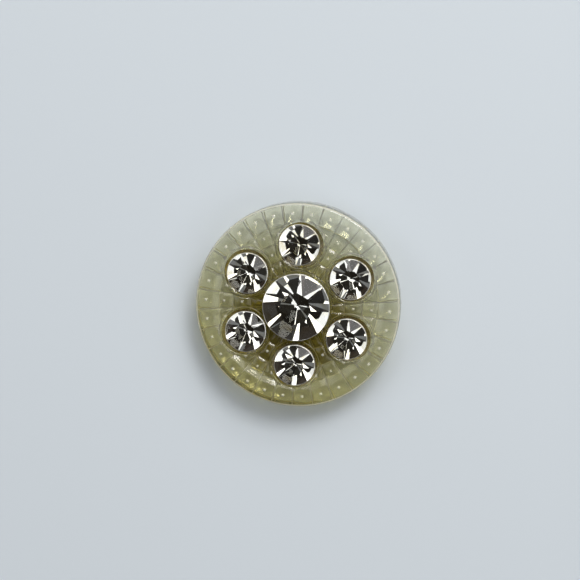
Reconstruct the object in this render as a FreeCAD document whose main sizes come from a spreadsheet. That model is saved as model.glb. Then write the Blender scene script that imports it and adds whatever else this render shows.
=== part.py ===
import FreeCAD, Part
import os
import Sketcher

# Round shank button of clear moulded plastic, set with seven foiled glass stones.
# Millimetres. The origin is on the button's axis at the foot of the shank; +Z points out of
# the decorated face and +Y at the first outer stone.

SIZES = {
    # moulded body
    "button_radius": 11.45,
    "back_height": 1.95,
    "rim_top_height": 5.15,
    "floor_height": 4.7,
    "border_inner_radius": 9.6,
    "border_slope_run": 0.9,
    "rim_top_round": 0.35,
    "rim_low_round": 0.4,
    "border_round": 0.25,
    # lattice of tiles moulded into the back
    "groove_half_width": 0.42,
    "groove_depth": 0.5,
    "ring_groove_inner": 5.23,
    "ring_groove_middle": 7.25,
    "ring_groove_outer": 9.27,
    "radial_groove_start": 4.1,
    # outer stones and their seats
    "setting_radius": 6.75,
    "outer_stone_radius": 2.3,
    "outer_girdle_height": 4.9,
    "outer_pavilion_depth": 2.1,
    "outer_crown_height": 0.85,
    "outer_table_radius": 1.12,
    "outer_seat_radius": 2.56,
    "outer_seat_tip_radius": 0.35,
    "outer_seat_wall_depth": 0.25,
    "outer_seat_depth": 2.28,
    "outer_collar_radius": 2.86,
    "outer_collar_height": 4.98,
    "outer_cement_height": 4.88,
    # centre stone and its seat
    "centre_stone_radius": 3.75,
    "centre_girdle_height": 5.9,
    "centre_pavilion_depth": 3.5,
    "centre_crown_height": 1.25,
    "centre_table_radius": 1.8,
    "centre_seat_radius": 3.62,
    "centre_seat_tip_radius": 0.35,
    "centre_seat_low_height": 2.25,
    "centre_collar_radius": 3.95,
    "centre_collar_height": 5.25,
    # both cuts of stone
    "culet_radius": 0.12,
    "girdle_oversize": 1.03,
    "foil_thickness": 0.06,
    # shank
    "shank_width": 4.6,
    "shank_thickness": 2.6,
    "shank_cement_thickness": 0.06,
    "shank_edge_round": 1.2,
    "thread_hole_radius": 0.65,
    "thread_hole_height": 1.05,
}

TILE_COUNT = 30
OUTER_STONE_COUNT = 6
FACET_COUNT = 8
OVERCUT = 0.3
COLLAR_ROOT = 0.1

# The stones are set by hand: each lies a little off the middle of its seat (along X and Y)
# and its facets are turned by chance (degrees clockwise from +Y).
CENTRE_SHIFT = (-0.05, -0.12)
CENTRE_TURN = 4
OUTER_SHIFTS = [
    (-0.16, 0.01), (-0.11, -0.12), (-0.16, -0.07), (0.03, -0.02), (0.17, 0.03), (0.05, -0.14),
]
OUTER_TURNS = [7, 24, 2, 5, 17, 22]

doc = FreeCAD.newDocument("shank_button")

sheet = doc.addObject("Spreadsheet::Sheet", "Sizes")
for row, (alias, number) in enumerate(SIZES.items(), start=1):
    sheet.set(f"A{row}", alias)
    sheet.set(f"B{row}", str(number))
    sheet.setAlias(f"B{row}", alias)
doc.recompute()

sub_parts = []


def size(alias):
    """Expression text for one cell of the sheet."""
    return f"Sizes.{alias}"


# ---------------------------------------------------------------- sketch and feature helpers

def origin_feature(body, role):
    return next(item for item in body.Origin.OriginFeatures if item.Role == role)


def new_body(label):
    body = doc.addObject("PartDesign::Body", label)
    body.Label = label
    return body


def place_corner(sketch, edge, across, up):
    """Tie the first end of a sketch line to the origin by two bound distances."""
    for kind, other_axis, formula in (("DistanceX", -2, across), ("DistanceY", -1, up)):
        if formula == "0":
            sketch.addConstraint(Sketcher.Constraint("PointOnObject", edge, 1, other_axis))
            continue
        ends = (-1, 1, edge, 1)
        if formula.startswith("-"):
            ends = (edge, 1, -1, 1)
            formula = formula[1:]
        name = f"{kind}_{edge}"
        index = sketch.addConstraint(Sketcher.Constraint(kind, *ends, 1.0))
        sketch.renameConstraint(index, name)
        sketch.setExpression(f"Constraints.{name}", formula)


def outline(body, name, plane_role, corners, axis_at=None):
    """Closed polygon sketch; every corner is (across, up) in expressions of the sheet.

    axis_at adds an upright construction line at that distance, to turn the outline about.
    """
    sketch = body.newObject("Sketcher::SketchObject", name)
    sketch.AttachmentSupport = [(origin_feature(body, plane_role), "")]
    sketch.MapMode = "FlatFace"
    start = [FreeCAD.Vector(5 + 3 * ((i + 1) % 2), 2 + i, 0) for i in range(len(corners))]
    for i, point in enumerate(start):
        sketch.addGeometry(Part.LineSegment(point, start[(i + 1) % len(start)]), False)
    for i in range(len(corners)):
        sketch.addConstraint(Sketcher.Constraint("Coincident", i, 2, (i + 1) % len(corners), 1))
    for i, (across, up) in enumerate(corners):
        place_corner(sketch, i, across, up)
    if axis_at is not None:
        low, high = FreeCAD.Vector(4, 0, 0), FreeCAD.Vector(4, 5, 0)
        line = sketch.addGeometry(Part.LineSegment(low, high), True)
        sketch.addConstraint(Sketcher.Constraint("Vertical", line))
        sketch.addConstraint(Sketcher.Constraint("PointOnObject", line, 1, -1))
        sketch.addConstraint(Sketcher.Constraint("DistanceY", line, 1, line, 2, 5.0))
        place_corner_across(sketch, line, axis_at)
    return sketch


def place_corner_across(sketch, line, formula):
    index = sketch.addConstraint(Sketcher.Constraint("DistanceX", -1, 1, line, 1, 1.0))
    sketch.renameConstraint(index, "axis_distance")
    sketch.setExpression("Constraints.axis_distance", formula)


def turned(body, kind, name, sketch, axis="V_Axis"):
    """Full turn of a sketch, added (Revolution) or taken away (Groove)."""
    feature = body.newObject(f"PartDesign::{kind}", name)
    feature.Profile = sketch
    feature.ReferenceAxis = (sketch, [axis])
    feature.Angle = 360
    doc.recompute()
    return feature


def polar(body, name, feature, count):
    """Repeat a feature evenly about the button's axis."""
    pattern = body.newObject("PartDesign::PolarPattern", name)
    pattern.Originals = [feature]
    pattern.Axis = (origin_feature(body, "Z_Axis"), [""])
    pattern.Angle = 360
    pattern.Occurrences = count
    body.Tip = pattern
    doc.recompute()
    return pattern


def round_edges(body, name, base, circles, cell):
    """Fillet the circular edges of the last feature at the given (radius, height) places."""
    names = []
    for i, edge in enumerate(base.Shape.Edges, start=1):
        if not isinstance(edge.Curve, Part.Circle):
            continue
        for radius, height in circles:
            near_radius = abs(edge.Curve.Radius - SIZES[radius]) < 1e-3
            if near_radius and abs(edge.Curve.Center.z - SIZES[height]) < 1e-3:
                names.append(f"Edge{i}")
    fillet = body.newObject("PartDesign::Fillet", name)
    fillet.Base = (base, names)
    fillet.setExpression("Radius", size(cell))
    doc.recompute()
    return fillet


# ---------------------------------------------------------------- moulded body

def groove_corners(middle):
    """Corners of a V groove cut up into the back, its axis at the given distance across."""
    half, back = size("groove_half_width"), size("back_height")
    # the V opens on below the back, at the same slope, so that it cuts clean through the surface
    low, high = f"{back} - {size('groove_depth')}", f"{back} + {size('groove_depth')}"
    if middle == "0":
        return [("0", high), (f"2 * {half}", low), (f"-2 * {half}", low)]
    return [(middle, high), (f"{middle} + 2 * {half}", low), (f"{middle} - 2 * {half}", low)]


def make_button_body():
    body = new_body("button_body")
    radius, floor, back = size("button_radius"), size("floor_height"), size("back_height")
    inner = size("border_inner_radius")
    disc = outline(body, "disc_section", "YZ_Plane", [
        ("0", back),
        (radius, back),
        (radius, size("rim_top_height")),
        (inner, size("rim_top_height")),
        (f"{inner} - {size('border_slope_run')}", floor),
        ("0", floor),
    ])
    shape = turned(body, "Revolution", "disc", disc)
    shape = round_edges(body, "rim_top_edge", shape, [("button_radius", "rim_top_height")], "rim_top_round")
    shape = round_edges(body, "rim_low_edge", shape, [("button_radius", "back_height")], "rim_low_round")
    round_edges(body, "border_edge", shape, [("border_inner_radius", "rim_top_height")], "border_round")

    # lattice of the back: ring grooves crossed by radial ones
    for ring in ("ring_groove_inner", "ring_groove_middle", "ring_groove_outer"):
        section = outline(body, f"{ring}_section", "YZ_Plane", groove_corners(size(ring)))
        turned(body, "Groove", ring, section)
    sketch = outline(body, "radial_groove_section", "XZ_Plane", groove_corners("0"))
    sketch.setExpression("AttachmentOffset.Base.z", f"-{size('radial_groove_start')}")
    groove = body.newObject("PartDesign::Pocket", "radial_groove")
    groove.Profile = sketch
    groove.setExpression("Length", f"{radius} - {size('radial_groove_start')} + {OVERCUT}")
    doc.recompute()
    polar(body, "radial_grooves", groove, TILE_COUNT)

    # raised collars round the stones
    below = f"{floor} - {COLLAR_ROOT}"
    section = outline(body, "centre_collar_section", "YZ_Plane", [
        ("0", below),
        (size("centre_collar_radius"), below),
        (f"{size('centre_collar_radius')} - 0.12", size("centre_collar_height")),
        ("0", size("centre_collar_height")),
    ])
    turned(body, "Revolution", "centre_collar", section)
    middle = size("setting_radius")
    section = outline(body, "outer_collar_section", "YZ_Plane", [
        (middle, below),
        (f"{middle} + {size('outer_collar_radius')}", below),
        (f"{middle} + {size('outer_collar_radius')} - 0.1", size("outer_collar_height")),
        (middle, size("outer_collar_height")),
    ], axis_at=middle)
    collar = turned(body, "Revolution", "outer_collar", section, "Axis0")
    polar(body, "outer_collars", collar, OUTER_STONE_COUNT)

    # seats: a short wall, then a cone that follows the stone's pavilion
    section = outline(body, "centre_seat_section", "YZ_Plane", [
        ("0", size("centre_seat_low_height")),
        (size("centre_seat_tip_radius"), size("centre_seat_low_height")),
        (size("centre_seat_radius"), size("centre_collar_height")),
        (size("centre_seat_radius"), f"{size('centre_collar_height')} + {OVERCUT}"),
        ("0", f"{size('centre_collar_height')} + {OVERCUT}"),
    ])
    turned(body, "Groove", "centre_seat", section)
    girdle = size("outer_girdle_height")
    section = outline(body, "outer_seat_section", "YZ_Plane", [
        (middle, f"{girdle} - {size('outer_seat_depth')}"),
        (f"{middle} + {size('outer_seat_tip_radius')}", f"{girdle} - {size('outer_seat_depth')}"),
        (f"{middle} + {size('outer_seat_radius')}", f"{girdle} - {size('outer_seat_wall_depth')}"),
        (f"{middle} + {size('outer_seat_radius')}", f"{size('outer_collar_height')} + {OVERCUT}"),
        (middle, f"{size('outer_collar_height')} + {OVERCUT}"),
    ], axis_at=middle)
    seat = turned(body, "Groove", "outer_seat", section, "Axis0")
    polar(body, "outer_seats", seat, OUTER_STONE_COUNT)
    sub_parts.append(body)


# ---------------------------------------------------------------- stones, foils and cement

def octagon(name, spot, circumradius, up, turn):
    """Eight-sided wire, level, one corner turned clockwise from +Y."""
    wire = doc.addObject("Part::RegularPolygon", name)
    wire.Polygon = FACET_COUNT
    wire.setExpression("Circumradius", circumradius)
    wire.Placement.Rotation = FreeCAD.Rotation(FreeCAD.Vector(0, 0, 1), 90 - turn)
    place(wire, spot, up)
    return wire


def place(item, spot, up):
    """Bind an object's place to the sheet; spot is (x, y) and up is z, in expressions."""
    for axis, formula in zip("xyz", (*spot, up)):
        item.setExpression(f".Placement.Base.{axis}", formula)


def cut_solid(name, spot, kind, turn, lowered="0"):
    """Eight-sided double pyramid between the culet and the table, before it is made round."""
    girdle = f"{size(kind + '_girdle_height')} - {lowered}"
    radius = size(kind + "_stone_radius")
    wide = f"{radius} * {size('girdle_oversize')} / cos({180 / FACET_COUNT} deg)"
    sections = [
        octagon(f"{name}_culet", spot, size("culet_radius"),
                f"{girdle} - {size(kind + '_pavilion_depth')}", turn),
        octagon(f"{name}_girdle", spot, wide, girdle, turn),
        octagon(f"{name}_table", spot, size(kind + "_table_radius"),
                f"{girdle} + {size(kind + '_crown_height')}", turn),
    ]
    loft = doc.addObject("Part::Loft", f"{name}_facets")
    loft.Sections = sections
    loft.Solid = True
    loft.Ruled = True
    return loft


def round_bar(name, spot, radius, low, tall):
    bar = doc.addObject("Part::Cylinder", name)
    bar.setExpression("Radius", radius)
    bar.setExpression("Height", tall)
    place(bar, spot, low)
    return bar


def common(label, shapes):
    item = doc.addObject("Part::MultiCommon", label)
    item.Shapes = shapes
    item.Label = label
    return item


def make_setting(kind, stone_label, foil_label, cement_label, seat_spot, shift, turn):
    """One foiled stone with the cement that holds it in its seat."""
    spot = tuple(f"{seat} + {offset}" for seat, offset in zip(seat_spot, shift))
    girdle, deep = size(kind + "_girdle_height"), size(kind + "_pavilion_depth")
    radius, foil = size(kind + "_stone_radius"), size("foil_thickness")

    facets = cut_solid(stone_label, spot, kind, turn)
    low, tall = f"{girdle} - {deep} - 1", f"{deep} + {size(kind + '_crown_height')} + 2"
    stone = common(stone_label, [facets, round_bar(f"{stone_label}_round", spot, radius, low, tall)])

    # the foil is the same pyramid lowered by its own thickness, less the stone
    lowered = cut_solid(f"{foil_label}_lowered", spot, kind, turn, foil)
    sleeve = round_bar(f"{foil_label}_sleeve", spot, radius, low, f"{deep} + 1 - {foil}")
    foil_blank = common(f"{foil_label}_blank", [lowered, sleeve])
    foil_shell = doc.addObject("Part::Cut", foil_label)
    foil_shell.Base, foil_shell.Tool = foil_blank, stone
    foil_shell.Label = foil_label

    cement = doc.addObject("Part::Cut", cement_label)
    cement.Base = cement_blank(kind, cement_label, seat_spot)
    inside = doc.addObject("Part::MultiFuse", f"{cement_label}_inside")
    inside.Shapes = [stone, foil_shell]
    cement.Tool = inside
    cement.Label = cement_label
    sub_parts.extend([stone, foil_shell, cement])


def cement_blank(kind, label, spot):
    """The seat's own hollow up to the level of the cement."""
    cone = doc.addObject("Part::Cone", f"{label}_cone")
    cone.setExpression("Radius1", size(kind + "_seat_tip_radius"))
    cone.setExpression("Radius2", size(kind + "_seat_radius"))
    if kind == "centre":
        low = size("centre_seat_low_height")
        cone.setExpression("Height", f"{size('centre_collar_height')} - {low}")
        place(cone, spot, low)
        return cone
    girdle, wall = size("outer_girdle_height"), size("outer_seat_wall_depth")
    cone.setExpression("Height", f"{size('outer_seat_depth')} - {wall}")
    place(cone, spot, f"{girdle} - {size('outer_seat_depth')}")
    ring = round_bar(f"{label}_ring", spot, size("outer_seat_radius"), f"{girdle} - {wall}",
                     f"{size('outer_cement_height')} - {girdle} + {wall}")
    blank = doc.addObject("Part::MultiFuse", f"{label}_blank")
    blank.Shapes = [cone, ring]
    return blank


# ---------------------------------------------------------------- shank

def make_shank():
    body = new_body("shank")
    half = f"{size('shank_width')} / 2"
    top = f"{size('back_height')} - {size('shank_cement_thickness')}"
    tongue = outline(body, "tongue_section", "YZ_Plane", [
        (f"-{half}", "0"),
        (half, "0"),
        (half, top),
        (f"-{half}", top),
    ])
    pad = body.newObject("PartDesign::Pad", "tongue")
    pad.Profile = tongue
    pad.SideType = "Symmetric"
    pad.setExpression("Length", size("shank_thickness"))
    doc.recompute()

    corners = []
    for i, edge in enumerate(pad.Shape.Edges, start=1):
        box = edge.BoundBox
        if box.ZMax < 1e-6 and box.YLength < 1e-6:
            corners.append(f"Edge{i}")
    rounding = body.newObject("PartDesign::Fillet", "tongue_rounding")
    rounding.Base = (pad, corners)
    rounding.setExpression("Radius", size("shank_edge_round"))
    doc.recompute()

    hole_sketch = body.newObject("Sketcher::SketchObject", "thread_hole_section")
    hole_sketch.AttachmentSupport = [(origin_feature(body, "YZ_Plane"), "")]
    hole_sketch.MapMode = "FlatFace"
    hole_sketch.addGeometry(Part.Circle(FreeCAD.Vector(0, 1, 0), FreeCAD.Vector(0, 0, 1), 0.5), False)
    hole_sketch.addConstraint(Sketcher.Constraint("PointOnObject", 0, 3, -2))
    up = hole_sketch.addConstraint(Sketcher.Constraint("DistanceY", -1, 1, 0, 3, 1.0))
    wide = hole_sketch.addConstraint(Sketcher.Constraint("Radius", 0, 0.5))
    for index, name, cell in (
        (up, "hole_height", "thread_hole_height"),
        (wide, "hole_radius", "thread_hole_radius"),
    ):
        hole_sketch.renameConstraint(index, name)
        hole_sketch.setExpression(f"Constraints.{name}", size(cell))
    hole = body.newObject("PartDesign::Pocket", "thread_hole")
    hole.Profile = hole_sketch
    hole.Type = "ThroughAll"
    hole.SideType = "Symmetric"
    doc.recompute()
    sub_parts.append(body)

    cement = doc.addObject("Part::Box", "shank_cement")
    cement.Label = "shank_cement"
    cement.setExpression("Length", size("shank_thickness"))
    cement.setExpression("Width", size("shank_width"))
    cement.setExpression("Height", size("shank_cement_thickness"))
    place(cement, (f"-{size('shank_thickness')} / 2", f"-{half}"), top)
    sub_parts.append(cement)


make_button_body()
make_setting("centre", "centre_stone", "centre_stone_foil", "centre_cement", ("0", "0"),
             CENTRE_SHIFT, CENTRE_TURN)
for number in range(OUTER_STONE_COUNT):
    bearing = number * 360 / OUTER_STONE_COUNT
    seat_spot = tuple(f"{size('setting_radius')} * {turn}({bearing} deg)" for turn in ("sin", "cos"))
    make_setting("outer", f"outer_stone_{number + 1}", f"outer_stone_foil_{number + 1}",
                 f"outer_cement_{number + 1}", seat_spot, OUTER_SHIFTS[number], OUTER_TURNS[number])
make_shank()
doc.recompute()

for item in doc.Objects:
    if "Invalid" in item.State or "Error" in item.State:
        raise RuntimeError(f"{item.Label} did not compute: {item.State}")
for item in sub_parts:
    if item.Shape.isNull() or not item.Shape.isValid() or item.Shape.Volume <= 0:
        raise RuntimeError(f"{item.Label} has no valid solid")
    print(f"{item.Label}: {len(item.Shape.Solids)} solid, {item.Shape.Volume:.3f} mm3")

os.makedirs("parts", exist_ok=True)
for item in sub_parts:
    item.Shape.exportStep(f"parts/{item.Label}.step")
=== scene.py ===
import math

import bpy
import numpy as np
from mathutils import Matrix, Vector


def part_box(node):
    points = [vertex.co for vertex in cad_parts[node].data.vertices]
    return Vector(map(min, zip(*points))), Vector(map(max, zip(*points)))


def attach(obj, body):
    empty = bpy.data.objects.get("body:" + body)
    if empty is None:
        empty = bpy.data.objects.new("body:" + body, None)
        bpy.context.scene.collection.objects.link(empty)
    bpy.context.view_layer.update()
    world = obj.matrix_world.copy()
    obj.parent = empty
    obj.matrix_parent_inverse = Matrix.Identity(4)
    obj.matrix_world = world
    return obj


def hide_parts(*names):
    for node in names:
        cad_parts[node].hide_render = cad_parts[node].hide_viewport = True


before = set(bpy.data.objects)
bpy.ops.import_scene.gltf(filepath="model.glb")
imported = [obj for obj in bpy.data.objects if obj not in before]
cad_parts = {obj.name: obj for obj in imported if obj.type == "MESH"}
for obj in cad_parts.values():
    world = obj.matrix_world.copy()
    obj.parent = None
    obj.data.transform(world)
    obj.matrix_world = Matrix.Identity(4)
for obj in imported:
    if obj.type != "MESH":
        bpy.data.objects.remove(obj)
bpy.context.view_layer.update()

MM = 0.001
TOUCHING = 0.001 * MM

# ------------------------------------------------------------------ facts read from the frame

BODY_LOW, BODY_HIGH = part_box("button_body")
BUTTON_RADIUS = (BODY_HIGH.x - BODY_LOW.x) / 2
BACK_HEIGHT = BODY_LOW.z
OUTER_COUNT = 6
TILE_COUNT = 30

# heights and radii of the moulding; the centre collar is its highest point
RIM_TOP = BODY_HIGH.z - 0.1 * MM
FLOOR_HEIGHT = RIM_TOP - 0.45 * MM
BORDER_INNER = 9.6 * MM
BORDER_SLOPE = 0.9 * MM
RIM_ROUND = 0.35 * MM
LOW_ROUND = 0.4 * MM
COLLAR_RISE = 0.28 * MM
OUTER_COLLAR_RADIUS = 2.86 * MM
OUTER_SEAT_RADIUS = 2.56 * MM
OUTER_SEAT_TIP = 0.35 * MM
CENTRE_COLLAR_RADIUS = 3.95 * MM
CENTRE_SEAT_RADIUS = 3.62 * MM
CENTRE_COLLAR_RISE = 0.55 * MM
SETTING_RADIUS = 6.75 * MM
FACETS = 8
GIRDLE_OVERSIZE = 1.03
CULET_RADIUS = 0.12 * MM
GIRDLE_BEVEL = 0.07 * MM
FOIL_GAP = 0.012 * MM
FOIL_THICKNESS = 0.06 * MM


def stone_facts(node, foil):
    """Centre, radius, heights and facet turn of a stone, measured on its CAD solid."""
    low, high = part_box(node)
    points = [v.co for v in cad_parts[node].data.vertices]
    corners = [p for p in points if high.z - p.z < TOUCHING]
    middle = sum(corners, Vector()) / len(corners)
    far = max(corners, key=lambda p: (p - middle).xy.length)
    return {
        "x": (low.x + high.x) / 2,
        "y": (low.y + high.y) / 2,
        "radius": (high.x - low.x) / 2,
        "table": high.z,
        "culet": low.z,
        "girdle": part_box(foil)[1].z + FOIL_THICKNESS,
        "table_radius": (far - middle).xy.length,
        "turn": math.atan2(far.y - middle.y, far.x - middle.x),
    }


CENTRE = stone_facts("centre_stone", "centre_stone_foil")
OUTER = [
    stone_facts(f"outer_stone_{i}", f"outer_stone_foil_{i}") for i in range(1, OUTER_COUNT + 1)
]


# ------------------------------------------------------------------ mesh helpers

def new_object(name, verts, faces, smooth_angle=None):
    """Mesh object linked to the scene, shaded smooth below the angle if one is given."""
    mesh = bpy.data.meshes.new(name)
    mesh.from_pydata([tuple(v) for v in verts], [], faces)
    mesh.validate()
    mesh.update()
    piece = bpy.data.objects.new(name, mesh)
    bpy.context.scene.collection.objects.link(piece)
    if smooth_angle is not None:
        smooth(piece, smooth_angle)
    return piece


def smooth(piece, degrees):
    """Shade smooth, with edges sharper than the angle left crisp."""
    for polygon in piece.data.polygons:
        polygon.use_smooth = True
    piece.data.set_sharp_from_angle(angle=math.radians(degrees))


def lathe(name, profile, segments, centre=(0, 0)):
    """Closed solid from a profile of (radius, height) that starts and ends on the axis."""
    verts, faces = [], []
    inner = profile[1:-1]
    verts.append((centre[0], centre[1], profile[0][1]))
    for radius, height in inner:
        for s in range(segments):
            a = 2 * math.pi * s / segments
            verts.append(
                (centre[0] + radius * math.cos(a), centre[1] + radius * math.sin(a), height)
            )
    verts.append((centre[0], centre[1], profile[-1][1]))
    last = len(verts) - 1
    for s in range(segments):
        n = (s + 1) % segments
        faces.append((0, 1 + n, 1 + s))
        for k in range(len(inner) - 1):
            base, up = 1 + k * segments, 1 + (k + 1) * segments
            faces.append((base + s, base + n, up + n, up + s))
        top = 1 + (len(inner) - 1) * segments
        faces.append((top + s, top + n, last))
    return new_object(name, verts, faces)


def combine(target, tool, operation):
    """Boolean of tool into target; the tool is used up."""
    modifier = target.modifiers.new("cut", "BOOLEAN")
    modifier.operation = operation
    modifier.solver = "MANIFOLD"
    modifier.object = tool
    depsgraph = bpy.context.evaluated_depsgraph_get()
    result = bpy.data.meshes.new_from_object(target.evaluated_get(depsgraph))
    target.modifiers.clear()
    target.data = result
    bpy.data.objects.remove(tool)


# ------------------------------------------------------------------ moulded body

# both lattices have the same rings of tiles: a faint one on the face, a deep one on the back
RING_EDGES = [0.28, 0.457, 0.633, 0.81, 0.985]
TILE_STEP = 2 * math.pi / TILE_COUNT
# places of the mesh rows within a tile; the narrow row at each edge is the worn line
ACROSS_STEPS = [-1, -0.955, -0.8, -0.6, -0.42, -0.3, -0.2, -0.13, -0.06,
                0, 0.06, 0.13, 0.2, 0.3, 0.42, 0.6, 0.8, 0.955]
OUTWARD_STEPS = [-1, -0.955, -0.8, -0.55, -0.33, -0.2, -0.13, -0.06,
                 0, 0.06, 0.13, 0.2, 0.33, 0.55, 0.8, 0.955]
CENTRE_ROWS = [0.08, 0.16, 0.22]
ARC_ROWS = 8
ROUND_SEGMENTS = 96

# relief of the face
CUSHION_HEIGHT = 0.045 * MM
CUSHION_POWER = 3.0
FLOOR_CUSHION = 3.2
FLOOR_CUSHION_FADE = 0.3 * MM
BEAD_RADIUS = 0.17 * MM
BEAD_HEIGHT = 0.1 * MM
FIRST_BEADED = 1
SLOPE_BOW = 0.09 * MM

# relief of the back; a tile narrower than FULL_TILE is shallower
BACK_DOME = 0.56 * MM
FULL_TILE = 1.0 * MM
DOME_SQUARENESS = 6
DOME_TIP = 0.35
DOME_FADE = 0.9 * MM
BORDER_CALM = 0.6
SLOPE_CALM = 0.55
LATTICE_TO_EDGE = 0.1 * MM
BACK_INSIDE = 0.5 * MM

# seats and collars
COLLAR_ROUND = 0.1 * MM
COLLAR_ROOT = 0.4 * MM
LIP_DEPTH = 0.12 * MM
LIP_LINE = 0.1 * MM
BACK_BY_SEATS = 0.1 * MM
SEAT_STEEPNESS = 0.9
SEAT_UNDER_CULET = 0.18 * MM
CENTRE_SEAT_UNDER_CULET = 0.15 * MM
CENTRE_SEAT_TIP = 0.35 * MM
ABOVE_MOUTH = 0.3 * MM

# material slots of the body, and where the frosted ones are; their pale colour on the bead tips and
# the rim edge is painted highlight
POLISHED, FROSTED_HIGHLIGHT, SATIN = 0, 1, 2
SATIN_FROM = 0.93
HIGHLIGHT_BEAD_SHARE = 0.85
HIGHLIGHT_EDGE = (0.55, 0.93)


def soft_clamp(x, softness=0.12):
    """0 below 0, x between, 1 above 1, with the two corners rounded off."""
    def ramp(t):
        return 0.5 * (t + np.sqrt(t * t + softness ** 2))
    return ramp(x) - ramp(x - 1)


def face_base(r):
    """Height of the face without its tiles: recessed floor, slope and raised border."""
    border = soft_clamp((r - (BORDER_INNER - BORDER_SLOPE)) / BORDER_SLOPE)
    return FLOOR_HEIGHT + (RIM_TOP - CUSHION_HEIGHT - FLOOR_HEIGHT) * border


def in_tile(r, angle, ring):
    """Place within a tile: from -1 to 1 across and outward, then the same in metres."""
    inner, outer = RING_EDGES[ring] * BUTTON_RADIUS, RING_EDGES[ring + 1] * BUTTON_RADIUS
    u = ((angle / TILE_STEP) % 1.0) * 2 - 1
    v = (r - inner) / (outer - inner) * 2 - 1
    return u, v, u * TILE_STEP / 2 * r, v * (outer - inner) / 2


def face_relief(r, angle, ring):
    """Faint cushion of each tile of the face, its bead, and a bow where it crosses the slope."""
    u, v, across, outward = in_tile(r, angle, ring)
    cushion = (1 - np.abs(u) ** CUSHION_POWER) * (1 - np.abs(v) ** CUSHION_POWER)
    on_floor = np.clip((BORDER_INNER - BORDER_SLOPE - r) / FLOOR_CUSHION_FADE, 0, 1)
    cushion = cushion * (1 + FLOOR_CUSHION * on_floor)
    bead = np.clip(1 - (across ** 2 + outward ** 2) / BEAD_RADIUS ** 2, 0, 1)
    on_slope = np.exp(-((r - BORDER_INNER + 0.5 * BORDER_SLOPE) / (0.5 * BORDER_SLOPE)) ** 2)
    bow = SLOPE_BOW * (1 - u ** 2) * on_slope
    beaded = BEAD_HEIGHT * np.sqrt(bead) if ring >= FIRST_BEADED else 0
    return CUSHION_HEIGHT * cushion + beaded + bow


def back_relief(r, angle, ring):
    """Height of the back: under each tile a blunt pyramid with softened ridges points down."""
    u, v, across, outward = in_tile(r, angle, ring)
    off = (np.abs(u) ** DOME_SQUARENESS + np.abs(v) ** DOME_SQUARENESS) ** (1 / DOME_SQUARENESS)
    sides = (np.sqrt(off ** 2 + DOME_TIP ** 2) - DOME_TIP) / (math.hypot(1, DOME_TIP) - DOME_TIP)
    # narrower tiles near the middle are shallower, and the outermost ones die away at the rim
    scale = np.minimum(TILE_STEP / 2 * r / FULL_TILE, 1)
    scale *= np.clip((BUTTON_RADIUS - LOW_ROUND - r) / DOME_FADE, 0, 1)
    scale *= 1 - BORDER_CALM * np.clip((r - BORDER_INNER) / BORDER_SLOPE, 0, 1)
    from_slope = (r - BORDER_INNER + 0.6 * BORDER_SLOPE) / BORDER_SLOPE
    scale *= 1 - SLOPE_CALM * math.exp(-from_slope ** 2)
    return BACK_HEIGHT + BACK_DOME * np.minimum(sides, 1) * scale


def seat_place(i):
    """Middle of outer seat i; bearings run clockwise from +Y."""
    bearing = 2 * math.pi * i / OUTER_COUNT
    return SETTING_RADIUS * math.sin(bearing), SETTING_RADIUS * math.cos(bearing)


def under_seats(r, angle, height):
    """Keep the valleys of the back clear of the cones of the outer seats."""
    x, y = r * np.sin(angle), r * np.cos(angle)
    for i in range(OUTER_COUNT):
        seat_x, seat_y = seat_place(i)
        off = np.hypot(x - seat_x, y - seat_y)
        cone = np.maximum(off - OUTER_SEAT_TIP, 0) * SEAT_STEEPNESS
        seat = OUTER[0]["culet"] - SEAT_UNDER_CULET + cone
        height = np.minimum(height, seat - BACK_BY_SEATS)
    return height


def ring_rows(steps):
    """Every radius of the lattice, with the ring of tiles it belongs to, from the inside out."""
    rows = []
    for ring in range(len(RING_EDGES) - 1):
        inner, outer = RING_EDGES[ring] * BUTTON_RADIUS, RING_EDGES[ring + 1] * BUTTON_RADIUS
        rows += [(inner + (v + 1) / 2 * (outer - inner), ring) for v in steps]
    return rows


def body_rows(angles):
    """Rows of the body's skin as (radius, heights), from mid face round the rim to mid back."""
    count = len(angles)
    rows = []
    for share in CENTRE_ROWS:
        r = share * BUTTON_RADIUS
        rows.append((r, np.full(count, face_base(np.array(r)))))
    for r, ring in ring_rows(OUTWARD_STEPS):
        if r < BUTTON_RADIUS - RIM_ROUND * 0.8:
            rows.append((r, face_base(np.array(r)) + face_relief(r, angles, ring)))
    # rounded rim, side wall, rounded lower edge
    top = RIM_TOP - CUSHION_HEIGHT
    for k in range(2, ARC_ROWS + 1):
        a = math.radians(90 * k / ARC_ROWS)
        r, z = BUTTON_RADIUS - RIM_ROUND * (1 - math.sin(a)), top - RIM_ROUND * (1 - math.cos(a))
        rows.append((r, np.full(count, z)))
    for k in range(ARC_ROWS):
        a = math.radians(90 * k / (ARC_ROWS - 1))
        r = BUTTON_RADIUS - LOW_ROUND * (1 - math.cos(a))
        rows.append((r, np.full(count, BACK_HEIGHT + LOW_ROUND * (1 - math.sin(a)))))
    for r, ring in reversed(ring_rows(OUTWARD_STEPS)):
        if r < BUTTON_RADIUS - LOW_ROUND - LATTICE_TO_EDGE:
            rows.append((r, under_seats(r, angles, back_relief(r, angles, ring))))
    rows.append((RING_EDGES[0] * BUTTON_RADIUS - BACK_INSIDE, np.full(count, BACK_HEIGHT)))
    return rows


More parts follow.
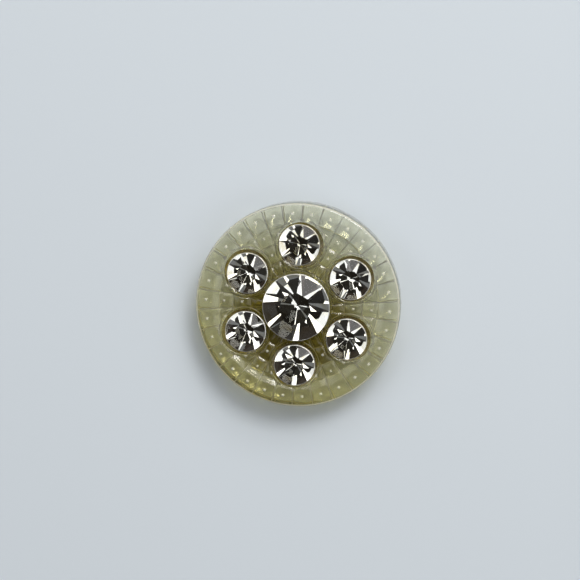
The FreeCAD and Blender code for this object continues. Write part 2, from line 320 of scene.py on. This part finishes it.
def make_disc():
    """Body before its collars and seats: a closed skin over every row and every angle."""
    angles = np.array(
        [(t + (u + 1) / 2) * TILE_STEP for t in range(TILE_COUNT) for u in ACROSS_STEPS]
    )
    count = len(angles)
    rows = body_rows(angles)
    verts = [(0, 0, face_base(np.array(0.0)))]
    for r, z in rows:
        # angles run clockwise from +Y
        verts += [(r * math.sin(a), r * math.cos(a), height) for a, height in zip(angles, z)]
    verts.append((0, 0, BACK_HEIGHT))
    faces = []
    bottom = len(verts) - 1
    for s in range(count):
        m = (s + 1) % count
        faces.append((0, 1 + m, 1 + s))
        for k in range(len(rows) - 1):
            base, down = 1 + k * count, 1 + (k + 1) * count
            faces.append((base + s, base + m, down + m, down + s))
        end = 1 + (len(rows) - 1) * count
        faces.append((end + s, end + m, bottom))
    return new_object("moulded_disc", verts, faces)


def collar_profile(kind):
    """Section of a collar, from under the floor up to its rounded edge."""
    outer = OUTER_COLLAR_RADIUS if kind == "outer" else CENTRE_COLLAR_RADIUS
    top = FLOOR_HEIGHT + (COLLAR_RISE if kind == "outer" else CENTRE_COLLAR_RISE)
    root = FLOOR_HEIGHT - COLLAR_ROOT
    profile = [(0, root), (outer, root)]
    for k in range(5):
        a = math.radians(90 * k / 4)
        profile.append(
            (outer - COLLAR_ROUND * (1 - math.cos(a)), top - COLLAR_ROUND * (1 - math.sin(a)))
        )
    profile.append((0, top))
    return profile


def make_body():
    body = make_disc()
    seats = [(0, 0, "centre")] + [(*seat_place(i), "outer") for i in range(OUTER_COUNT)]
    for x, y, kind in seats:
        combine(body, lathe("collar", collar_profile(kind), ROUND_SEGMENTS, (x, y)), "UNION")
    for x, y, kind in seats:
        combine(body, lathe("seat", seat_profile(kind), ROUND_SEGMENTS, (x, y)), "DIFFERENCE")
    smooth(body, 30)
    body.data.materials.clear()
    for make in (material_plastic, material_frosted_highlight, material_satin):
        body.data.materials.append(make())
    for polygon in body.data.polygons:
        polygon.material_index = surface_of(polygon, seats)
    return body


def surface_of(polygon, seats):
    """Material slot of a face of the moulding: polished, frosted with a pale painted highlight, or
    satin.
    """
    middle = polygon.center
    r, angle = middle.xy.length, math.atan2(middle.x, middle.y) % (2 * math.pi)
    # the pale frosted band on the rim's rounded edge is a painted highlight
    if r > BUTTON_RADIUS - RIM_ROUND and HIGHLIGHT_EDGE[0] < polygon.normal.z < HIGHLIGHT_EDGE[1]:
        return FROSTED_HIGHLIGHT
    if middle.z > FLOOR_HEIGHT + COLLAR_RISE - LIP_DEPTH and polygon.normal.z > 0.1:
        for x, y, kind in seats[1:]:
            if 0 < OUTER_COLLAR_RADIUS - math.hypot(middle.x - x, middle.y - y) < LIP_LINE:
                return SATIN
    for ring in range(len(RING_EDGES) - 1):
        if not RING_EDGES[ring] <= r / BUTTON_RADIUS < RING_EDGES[ring + 1]:
            continue
        u, v, across, outward = in_tile(r, angle, ring)
        if middle.z > FLOOR_HEIGHT - 0.05 * MM:
            # the pale frosted bead tips are painted highlights
            if ring >= FIRST_BEADED and math.hypot(across, outward) < BEAD_RADIUS * HIGHLIGHT_BEAD_SHARE:
                return FROSTED_HIGHLIGHT
            # the slope and the border have lines along the radius only
            on_border = r > BORDER_INNER - BORDER_SLOPE
            return SATIN if max(abs(u), 0 if on_border else abs(v)) > SATIN_FROM else POLISHED
        if middle.z < BACK_HEIGHT + BACK_DOME * 1.01 and polygon.normal.z < 0:
            return SATIN if max(abs(u), abs(v)) > SATIN_FROM else POLISHED
    return POLISHED


def seat_profile(kind):
    """Section of a seat, from its bottom up to clear of its rounded mouth."""
    if kind == "centre":
        low = CENTRE["culet"] - CENTRE_SEAT_UNDER_CULET
        top = FLOOR_HEIGHT + CENTRE_COLLAR_RISE
        mouth = CENTRE_SEAT_RADIUS
        return [
            (0, low), (CENTRE_SEAT_TIP, low),
            (mouth - 0.12 * MM, top - 0.12 * MM), (mouth, top - 0.03 * MM),
            (mouth + 0.12 * MM, top + 0.02 * MM), (mouth + 0.2 * MM, top + ABOVE_MOUTH),
            (0, top + ABOVE_MOUTH),
        ]
    low = OUTER[0]["culet"] - SEAT_UNDER_CULET
    top = FLOOR_HEIGHT + COLLAR_RISE
    mouth = OUTER_SEAT_RADIUS
    return [
        (0, low), (OUTER_SEAT_TIP, low),
        (mouth, OUTER[0]["girdle"] - 0.25 * MM), (mouth, top - 0.1 * MM),
        (mouth + 0.03 * MM, top - 0.03 * MM), (mouth + 0.1 * MM, top + 0.01 * MM),
        (mouth + 0.15 * MM, top + ABOVE_MOUTH), (0, top + ABOVE_MOUTH),
    ]


# ------------------------------------------------------------------ stones

ARC_STEPS = 8


def stone_rings(facts, lowered=0.0):
    """Points of the cut: table corners, crown edge, both girdle curves and culet corners."""
    r, girdle = facts["radius"], facts["girdle"] - lowered
    crown, deep = facts["table"] - facts["girdle"], facts["girdle"] - facts["culet"]
    flat = math.cos(math.pi / FACETS)
    wide = r * GIRDLE_OVERSIZE
    table_flat, culet_flat = facts["table_radius"] * flat, CULET_RADIUS * flat
    table, bevel, upper, lower, culet = [], [], [], [], []
    for k in range(FACETS):
        corner = facts["turn"] + 2 * math.pi * k / FACETS
        for radius, height, ring in (
            (facts["table_radius"], girdle + crown, table),
            (CULET_RADIUS, girdle - deep, culet),
        ):
            x, y = radius * math.cos(corner), radius * math.sin(corner)
            ring.append((facts["x"] + x, facts["y"] + y, height))
        for j in range(ARC_STEPS):
            offset = (j / ARC_STEPS - 0.5) * 2 * math.pi / FACETS
            a = corner + (j / ARC_STEPS) * 2 * math.pi / FACETS
            reach = r * math.cos(offset)
            x, y = facts["x"] + r * math.cos(a), facts["y"] + r * math.sin(a)
            upper.append((x, y, girdle + crown * (wide - reach) / (wide - table_flat)))
            inset = 1 - GIRDLE_BEVEL / r
            bevel.append((
                facts["x"] + (x - facts["x"]) * inset, facts["y"] + (y - facts["y"]) * inset,
                girdle + crown * (wide - reach * inset) / (wide - table_flat),
            ))
            lower.append((x, y, girdle - deep * (wide - reach) / (wide - culet_flat)))
    return table, bevel, upper, lower, culet


def make_stone(name, facts):
    """Glass stone; its pavilion faces take the second material, the silvering."""
    table, bevel, upper, lower, culet = stone_rings(facts)
    upper = [(x, y, z - GIRDLE_BEVEL / 2) for x, y, z in upper]
    verts = table + bevel + upper + lower + culet
    count = FACETS * ARC_STEPS
    t0, b0, u0, l0, c0 = 0, FACETS, FACETS + count, FACETS + 2 * count, FACETS + 3 * count
    faces, slots = [tuple(range(FACETS))], [0]
    for k in range(FACETS):
        n = (k + 1) % FACETS
        arc = [(k * ARC_STEPS + j) % count for j in range(ARC_STEPS + 1)]
        faces.append(tuple([t0 + n, t0 + k] + [b0 + a for a in arc]))
        slots.append(0)
        faces.append(tuple([c0 + k, c0 + n] + [l0 + a for a in reversed(arc)]))
        slots.append(1)
    for low, high, slot in ((l0, u0, 0), (u0, b0, 2)):
        for s in range(count):
            n = (s + 1) % count
            faces.append((low + s, low + n, high + n, high + s))
            slots.append(slot)
    faces.append(tuple(c0 + k for k in reversed(range(FACETS))))
    slots.append(1)
    stone = new_object(name, verts, faces)
    stone.data.materials.append(material_stone_glass())
    stone.data.materials.append(material_silvering())
    stone.data.materials.append(material_ground_glass())
    for polygon, slot in zip(stone.data.polygons, slots):
        polygon.material_index = slot
    return stone


def make_foil(name, facts):
    """Thin shell under the pavilion: silvered inside, lacquered outside."""
    verts, faces = [], []
    count = FACETS * ARC_STEPS
    for lowered in (FOIL_GAP, FOIL_THICKNESS):
        *_, lower, culet = stone_rings(facts, lowered)
        verts += lower + culet
    side = count + FACETS
    for layer in (0, 1):
        base = layer * side
        for k in range(FACETS):
            n = (k + 1) % FACETS
            arc = [(k * ARC_STEPS + j) % count for j in range(ARC_STEPS + 1)]
            ring = [base + count + k, base + count + n] + [base + a for a in reversed(arc)]
            faces.append(tuple(ring if layer else reversed(ring)))
        tip = [base + count + k for k in range(FACETS)]
        faces.append(tuple(reversed(tip) if layer else tip))
    for s in range(count):
        n = (s + 1) % count
        faces.append((side + s, side + n, n, s))
    foil = new_object(name, verts, faces)
    foil.data.materials.append(material_lacquer())
    foil.data.materials.append(material_silvering())
    for index, polygon in enumerate(foil.data.polygons):
        polygon.material_index = 1 if index <= FACETS else 0
    return foil


CEMENT_GAP = 0.02 * MM
CEMENT_TIP = 0.3 * MM
CEMENT_SEGMENTS = 72


def cement_wall(kind, facts):
    """Section along the wall of the seat: (radius, height) from the bottom to the meniscus."""
    if kind == "outer":
        mouth, top = OUTER_SEAT_RADIUS - CEMENT_GAP, facts["girdle"] - 0.03 * MM
        bottom = facts["culet"] - 0.15 * MM
        shoulder = (mouth - 0.02 * MM, facts["girdle"] - 0.27 * MM)
        return [(CEMENT_TIP, bottom), shoulder, (mouth, top)]
    mouth = CENTRE_SEAT_RADIUS - CEMENT_GAP
    top = FLOOR_HEIGHT + CENTRE_COLLAR_RISE - 0.15 * MM
    return [(CEMENT_TIP, facts["culet"] - 0.13 * MM), (mouth - 0.17 * MM, top)]


def make_cement(name, kind, facts, seat):
    """Ring of cement between the stone and its seat, with a meniscus at the top."""
    r, girdle = facts["radius"], facts["girdle"]
    wall = cement_wall(kind, facts)
    top = wall[-1][1]
    widest = r * GIRDLE_OVERSIZE / math.cos(math.pi / FACETS)
    slope = (girdle - facts["culet"]) / (widest - CULET_RADIUS)
    low = facts["culet"] - 0.1 * MM
    reach = min(r + 0.03 * MM, (top - low) / slope + 0.12 * MM)
    stone_side = [(reach, top - 0.05 * MM)]
    if kind == "outer":
        stone_side.append((r + 0.03 * MM, girdle - 0.3 * MM))
    stone_side.append((0.16 * MM, low))
    rings = [(*seat, radius, z) for radius, z in wall]
    rings += [(facts["x"], facts["y"], radius, z) for radius, z in stone_side]
    verts, faces = [], []
    for cx, cy, radius, z in rings:
        for s in range(CEMENT_SEGMENTS):
            a = 2 * math.pi * s / CEMENT_SEGMENTS
            verts.append((cx + radius * math.cos(a), cy + radius * math.sin(a), z))
    for k in range(len(rings) - 1):
        base, up = k * CEMENT_SEGMENTS, (k + 1) * CEMENT_SEGMENTS
        for s in range(CEMENT_SEGMENTS):
            n = (s + 1) % CEMENT_SEGMENTS
            faces.append((base + s, base + n, up + n, up + s))
    last = (len(rings) - 1) * CEMENT_SEGMENTS
    faces.append(tuple(reversed(range(CEMENT_SEGMENTS))))
    faces.append(tuple(last + s for s in range(CEMENT_SEGMENTS)))
    cement = new_object(name, verts, faces, 40)
    cement.data.materials.append(material_cement())
    return cement


# ------------------------------------------------------------------ materials

# the base colour darkens and yellows towards this bearing: partly real yellowing, partly painted
# shade on the side away from the key light
SHADED_YELLOWING_BEARING = 198
# how far in the direction of that bearing, in button radii, and the colour there; the darker,
# yellower stops are partly the plastic's own yellowing, partly painted shade
TINT_FROM, TINT_TO = -0.8, 1.45
TINT_STOPS = [
    (0.0, (0.975, 0.99, 0.975, 1)),
    (0.35, (0.92, 0.915, 0.76, 1)),
    (0.72, (0.875, 0.845, 0.54, 1)),
    (1.0, (0.5, 0.42, 0.1, 1)),
]
# inside this radius the painted shade and yellowing deepen inwards, by this many radii for each
# radius
TINT_FLOOR, TINT_DEEPENS, TINT_DEEPEST = 0.8, 4.0, 1.4
CLOUDS = 0.2
CLOUD_SCALE = 260.0
DEPTH_TINT = (0.955, 0.9, 0.4, 1)
DEPTH_TINT_DENSITY = 140.0


SOCKETS = {
    "roughness": "Roughness",
    "ior": "IOR",
    "transmission": "Transmission Weight",
    "metallic": "Metallic",
    "specular": "Specular IOR Level",
    "colour": "Base Color",
}
PLASTIC_IOR = 1.49
GLASS_IOR = 1.56
CEMENT_IOR = 1.5

made = {}


def once(make):
    """Let a material function make its material the first time and hand it out after that."""
    def get():
        if make.__name__ not in made:
            made[make.__name__] = make()
        return made[make.__name__]
    return get


def principled(name, **values):
    """New material and its shader, with the values that are the same all over."""
    material = bpy.data.materials.new(name)
    material.use_nodes = True
    shader = material.node_tree.nodes["Principled BSDF"]
    for key, value in values.items():
        shader.inputs[SOCKETS[key]].default_value = value
    return material, shader


def noise_bump(material, shader, scale, strength, distance):
    """Fine unevenness; scale is in cells per metre."""
    nodes, links = material.node_tree.nodes, material.node_tree.links
    coordinates = nodes.new("ShaderNodeTexCoord")
    noise = nodes.new("ShaderNodeTexNoise")
    noise.inputs["Scale"].default_value = scale
    noise.inputs["Detail"].default_value = 2.0
    bump = nodes.new("ShaderNodeBump")
    bump.inputs["Strength"].default_value = strength
    bump.inputs["Distance"].default_value = distance
    links.new(coordinates.outputs["Object"], noise.inputs["Vector"])
    links.new(noise.outputs["Fac"], bump.inputs["Height"])
    links.new(bump.outputs["Normal"], shader.inputs["Normal"])


def math_node(nodes, operation, *values):
    node = nodes.new("ShaderNodeMath")
    node.operation = operation
    for index, value in enumerate(values):
        if value is not None:
            node.inputs[index].default_value = value
    return node


def yellowing_and_painted_shade(material, shader):
    """Base colour that yellows and darkens towards one side and towards the middle: partly the
    plastic's own yellowing, partly painted shade where the key light and the stones leave it in
    shadow; with faint clouds of uneven yellowing.
    """
    nodes, links = material.node_tree.nodes, material.node_tree.links
    coordinates = nodes.new("ShaderNodeTexCoord")
    scaled = nodes.new("ShaderNodeVectorMath")
    scaled.operation = "MULTIPLY"
    scaled.inputs[1].default_value = (1 / BUTTON_RADIUS, 1 / BUTTON_RADIUS, 0)
    side = nodes.new("ShaderNodeVectorMath")
    side.operation = "DOT_PRODUCT"
    bearing = math.radians(SHADED_YELLOWING_BEARING)
    side.inputs[1].default_value = (math.sin(bearing), math.cos(bearing), 0)
    radius = nodes.new("ShaderNodeVectorMath")
    radius.operation = "LENGTH"
    inward = math_node(nodes, "MULTIPLY_ADD", None, -TINT_DEEPENS, TINT_DEEPENS * TINT_FLOOR)
    at_least = math_node(nodes, "MAXIMUM", None, 0)
    at_most = math_node(nodes, "MINIMUM", None, TINT_DEEPEST)
    both = math_node(nodes, "ADD")
    clouds = nodes.new("ShaderNodeTexNoise")
    clouds.inputs["Scale"].default_value = CLOUD_SCALE
    clouds.inputs["Detail"].default_value = 2.0
    spread = math_node(nodes, "MULTIPLY_ADD", None, CLOUDS)
    ramp_place = nodes.new("ShaderNodeMapRange")
    ramp_place.inputs["From Min"].default_value = TINT_FROM + CLOUDS / 2
    ramp_place.inputs["From Max"].default_value = TINT_TO + CLOUDS / 2
    ramp = nodes.new("ShaderNodeValToRGB")
    elements = ramp.color_ramp.elements
    elements[0].color, elements[1].color = TINT_STOPS[0][1], TINT_STOPS[-1][1]
    for position, colour in TINT_STOPS[1:-1]:
        elements.new(position).color = colour
    links.new(coordinates.outputs["Object"], scaled.inputs[0])
    links.new(scaled.outputs["Vector"], side.inputs[0])
    links.new(scaled.outputs["Vector"], radius.inputs[0])
    links.new(radius.outputs["Value"], inward.inputs[0])
    links.new(inward.outputs["Value"], at_least.inputs[0])
    links.new(at_least.outputs["Value"], at_most.inputs[0])
    links.new(at_most.outputs["Value"], both.inputs[0])
    links.new(side.outputs["Value"], both.inputs[1])
    links.new(coordinates.outputs["Object"], clouds.inputs["Vector"])
    links.new(clouds.outputs["Fac"], spread.inputs[0])
    links.new(both.outputs["Value"], spread.inputs[2])
    links.new(spread.outputs["Value"], ramp_place.inputs["Value"])
    links.new(ramp_place.outputs["Result"], ramp.inputs["Fac"])
    links.new(ramp.outputs["Color"], shader.inputs["Base Color"])


def mottled(material, shader, scale, light, dark, position=(0.35, 0.65)):
    """Colour that wanders between two tones; position is where the change starts and ends."""
    nodes, links = material.node_tree.nodes, material.node_tree.links
    coordinates = nodes.new("ShaderNodeTexCoord")
    noise = nodes.new("ShaderNodeTexNoise")
    noise.inputs["Scale"].default_value = scale
    noise.inputs["Detail"].default_value = 2.0
    ramp = nodes.new("ShaderNodeValToRGB")
    elements = ramp.color_ramp.elements
    elements[0].position, elements[0].color = position[0], (*light, 1)
    elements[1].position, elements[1].color = position[1], (*dark, 1)
    links.new(coordinates.outputs["Object"], noise.inputs["Vector"])
    links.new(noise.outputs["Fac"], ramp.inputs["Fac"])
    links.new(ramp.outputs["Color"], shader.inputs["Base Color"])


def add_absorption(material):
    """Yellowing that deepens with the thickness looked through."""
    nodes, links = material.node_tree.nodes, material.node_tree.links
    absorption = nodes.new("ShaderNodeVolumeAbsorption")
    absorption.inputs["Color"].default_value = DEPTH_TINT
    absorption.inputs["Density"].default_value = DEPTH_TINT_DENSITY
    links.new(absorption.outputs["Volume"], nodes["Material Output"].inputs["Volume"])


@once
def material_plastic():
    material, shader = principled(
        "clear_plastic", roughness=0.04, ior=PLASTIC_IOR, transmission=0.92
    )
    # base colour with painted shade towards one side and the middle, over the plastic's own
    # yellowing
    yellowing_and_painted_shade(material, shader)
    noise_bump(material, shader, 700.0, 0.12, 0.04 * MM)
    add_absorption(material)
    return material


@once
def material_satin():
    material, shader = principled("satin_plastic", roughness=0.3, ior=PLASTIC_IOR, transmission=0.8)
    # base colour with painted shade towards one side and the middle, over the plastic's own
    # yellowing
    yellowing_and_painted_shade(material, shader)
    noise_bump(material, shader, 6000.0, 0.3, 0.01 * MM)
    add_absorption(material)
    return material


# frosted plastic whose pale whitish colour is painted highlight on the bead tips and the rim edge
@once
def material_frosted_highlight():
    material, shader = principled("frosted_highlight_plastic", roughness=0.5, ior=PLASTIC_IOR, transmission=0.55)
    mottled(material, shader, 1200.0, (0.98, 0.97, 0.87), (0.92, 0.9, 0.74))
    noise_bump(material, shader, 5000.0, 0.4, 0.02 * MM)
    return material


@once
def material_stone_glass():
    material, shader = principled("cut_glass", roughness=0.012, ior=GLASS_IOR, transmission=1.0)
    mottled(material, shader, 400.0, (0.99, 0.99, 0.985), (0.97, 0.96, 0.93))
    return material


@once
def material_ground_glass():
    material, shader = principled(
        "ground_glass", colour=(0.97, 0.96, 0.92, 1), roughness=0.4, ior=GLASS_IOR, transmission=0.6
    )
    noise_bump(material, shader, 9000.0, 0.4, 0.01 * MM)
    return material


@once
def material_silvering():
    material, shader = principled("silvering", metallic=1.0, roughness=0.0)
    mottled(material, shader, 520.0, (0.96, 0.965, 0.94), (0.84, 0.79, 0.62), (0.52, 0.72))
    return material


@once
def material_lacquer():
    material, shader = principled("foil_lacquer", metallic=0.9, roughness=0.35)
    mottled(material, shader, 1500.0, (0.55, 0.43, 0.2), (0.38, 0.27, 0.1))
    noise_bump(material, shader, 2500.0, 0.35, 0.03 * MM)
    return material


@once
def material_cement():
    material, shader = principled("aged_cement", roughness=0.12, ior=CEMENT_IOR, transmission=0.9)
    mottled(material, shader, 700.0, (0.82, 0.75, 0.42), (0.66, 0.54, 0.2))
    noise_bump(material, shader, 1500.0, 0.3, 0.04 * MM)
    return material


@once
def material_floor():
    return principled("pale_floor", colour=(0.68, 0.742, 0.795, 1), roughness=0.9, specular=0.1)[0]


# ------------------------------------------------------------------ assembly

def claim(piece, node):
    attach(piece, "root")
    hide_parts(node)


def set_stone(number, kind, facts, seat):
    """Stone, foil and cement of one seat; hands back the two mirrored pieces."""
    suffix = "" if kind == "centre" else f"_{number}"
    stone_node = f"{kind}_stone{suffix}"
    foil_node = f"{kind}_stone_foil{suffix}"
    cement_node = f"{kind}_cement{suffix}"
    stone = make_stone(f"{stone_node}_cut", facts)
    foil = make_foil(f"{foil_node}_shell", facts)
    claim(stone, stone_node)
    claim(foil, foil_node)
    claim(make_cement(f"{cement_node}_ring", kind, facts, seat), cement_node)
    return stone, foil


claim(make_body(), "button_body")
mirrored = list(set_stone(0, "centre", CENTRE, (0, 0)))
for i, facts in enumerate(OUTER):
    mirrored += set_stone(i + 1, "outer", facts, seat_place(i))

for node, make in (("shank", material_plastic), ("shank_cement", material_cement)):
    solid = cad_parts[node]
    solid.data.materials.clear()
    solid.data.materials.append(make())


# ------------------------------------------------------------------ camera, light, floor

SENSOR_WIDTH = 36
FRAME_WIDTH = 64.65 * MM
CAMERA_DISTANCE = 200 * MM
AIM_LEFT, AIM_UP = 0.85 * MM, 1.68 * MM
# the camera leans off the button's axis, towards a bearing, and rolls a little; degrees
TILT, TILT_BEARING, ROLL = 9.5, 37, 3

LIGHT_DISTANCE = 0.6
FLOOR_HALF = 3

# the room: dark overhead round the camera, and darker on the side away from the window
ROOM_STRENGTH = 0.24
DARK_SIDE_BEARING = 200
OVERHEAD_STOPS = [
    (0.0, (1.0, 1.02, 1.05, 1)),
    (0.5, (0.8, 0.82, 0.85, 1)),
    (0.86, (0.8, 0.82, 0.84, 1)),
    (0.94, (0.095, 0.085, 0.068, 1)),
    (1.0, (0.048, 0.044, 0.036, 1)),
]
SIDE_STOPS = [(0.02, (1, 1, 1, 1)), (0.3, (0.2, 0.155, 0.125, 1))]
BACKDROP = (2.3, 2.45, 2.6, 1)


def direction_of(bearing, elevation):
    """Unit vector; bearings in degrees clockwise from +Y, elevations in degrees above level."""
    a, e = math.radians(bearing), math.radians(elevation)
    return Vector((math.sin(a) * math.cos(e), math.cos(a) * math.cos(e), math.sin(e)))


TO_CAMERA = direction_of(TILT_BEARING, 90 - TILT)


def make_camera():
    back = TO_CAMERA
    roll = math.radians(ROLL)
    right = Vector((-math.sin(roll), math.cos(roll), 0)).cross(back).normalized()
    up = back.cross(right)
    aim = Vector((0, 0, FLOOR_HEIGHT)) - AIM_LEFT * right + AIM_UP * up
    data = bpy.data.cameras.new("camera")
    data.lens = SENSOR_WIDTH * CAMERA_DISTANCE / FRAME_WIDTH
    data.clip_start = MM
    camera = bpy.data.objects.new("camera", data)
    turn = Matrix((right, up, back)).transposed().to_4x4()
    camera.matrix_world = Matrix.Translation(aim + back * CAMERA_DISTANCE) @ turn
    bpy.context.scene.collection.objects.link(camera)
    bpy.context.scene.camera = camera


def area_light(name, bearing, elevation, width, power, colour):
    """Square light that faces the button."""
    data = bpy.data.lights.new(name, "AREA")
    data.shape = "SQUARE"
    data.size = width
    data.energy = power
    data.color = colour
    light = bpy.data.objects.new(name, data)
    direction = direction_of(bearing, elevation)
    light.location = direction * LIGHT_DISTANCE
    light.rotation_mode = "QUATERNION"
    light.rotation_quaternion = direction.to_track_quat("Z", "Y")
    bpy.context.scene.collection.objects.link(light)
    return light


def direction_ramp(nodes, links, coordinates, direction, stops):
    """Colour by how nearly the view of the room points in a direction."""
    towards = nodes.new("ShaderNodeVectorMath")
    towards.operation = "DOT_PRODUCT"
    towards.inputs[1].default_value = direction
    ramp = nodes.new("ShaderNodeValToRGB")
    elements = ramp.color_ramp.elements
    elements[0].position, elements[0].color = stops[0]
    elements[1].position, elements[1].color = stops[-1]
    for position, colour in stops[1:-1]:
        elements.new(position).color = colour
    links.new(coordinates.outputs["Generated"], towards.inputs[0])
    links.new(towards.outputs["Value"], ramp.inputs["Fac"])
    return ramp


def make_world():
    world = bpy.data.worlds.new("soft_room")
    bpy.context.scene.world = world
    world.use_nodes = True
    nodes, links = world.node_tree.nodes, world.node_tree.links
    background = nodes["Background"]
    background.inputs["Strength"].default_value = ROOM_STRENGTH
    coordinates = nodes.new("ShaderNodeTexCoord")
    overhead = direction_ramp(nodes, links, coordinates, TO_CAMERA, OVERHEAD_STOPS)
    side = direction_ramp(nodes, links, coordinates, direction_of(DARK_SIDE_BEARING, 0), SIDE_STOPS)
    room = nodes.new("ShaderNodeMix")
    room.data_type, room.blend_type = "RGBA", "MULTIPLY"
    room.inputs["Factor"].default_value = 1.0
    links.new(overhead.outputs["Color"], room.inputs["A"])
    links.new(side.outputs["Color"], room.inputs["B"])
    # seen directly, past the edge of the floor, the room is a plain pale backdrop
    ray = nodes.new("ShaderNodeLightPath")
    backdrop = nodes.new("ShaderNodeMix")
    backdrop.data_type = "RGBA"
    backdrop.inputs["B"].default_value = BACKDROP
    links.new(ray.outputs["Is Camera Ray"], backdrop.inputs["Factor"])
    links.new(room.outputs["Result"], backdrop.inputs["A"])
    links.new(backdrop.outputs["Result"], background.inputs["Color"])


def unlit_by(light, pieces):
    """Keep a light off some pieces."""
    group = bpy.data.collections.new(f"not_lit_by_{light.name}")
    for piece in pieces:
        group.objects.link(piece)
    light.light_linking.receiver_collection = group
    for entry in group.collection_objects:
        entry.light_linking.link_state = "EXCLUDE"


make_camera()
make_world()
area_light("key", 22, 51, 0.5, 2.0, (1.0, 0.98, 0.96))
core = area_light("key_core", 26, 54, 0.17, 1.15, (1.0, 0.98, 0.95))
area_light("fill_left", 285, 58, 0.34, 0.45, (0.97, 0.98, 1.0))
area_light("fill_right", 118, 58, 0.34, 0.42, (0.97, 0.98, 1.0))
# its small bright reflections in the mirrored stones are grainy, so it does not light them
unlit_by(core, mirrored)

floor = new_object(
    "floor",
    [(-FLOOR_HALF, -FLOOR_HALF, 0), (FLOOR_HALF, -FLOOR_HALF, 0),
     (FLOOR_HALF, FLOOR_HALF, 0), (-FLOOR_HALF, FLOOR_HALF, 0)],
    [(0, 1, 2, 3)],
)
floor.data.materials.append(material_floor())

bpy.context.scene.view_settings.view_transform = "Standard"
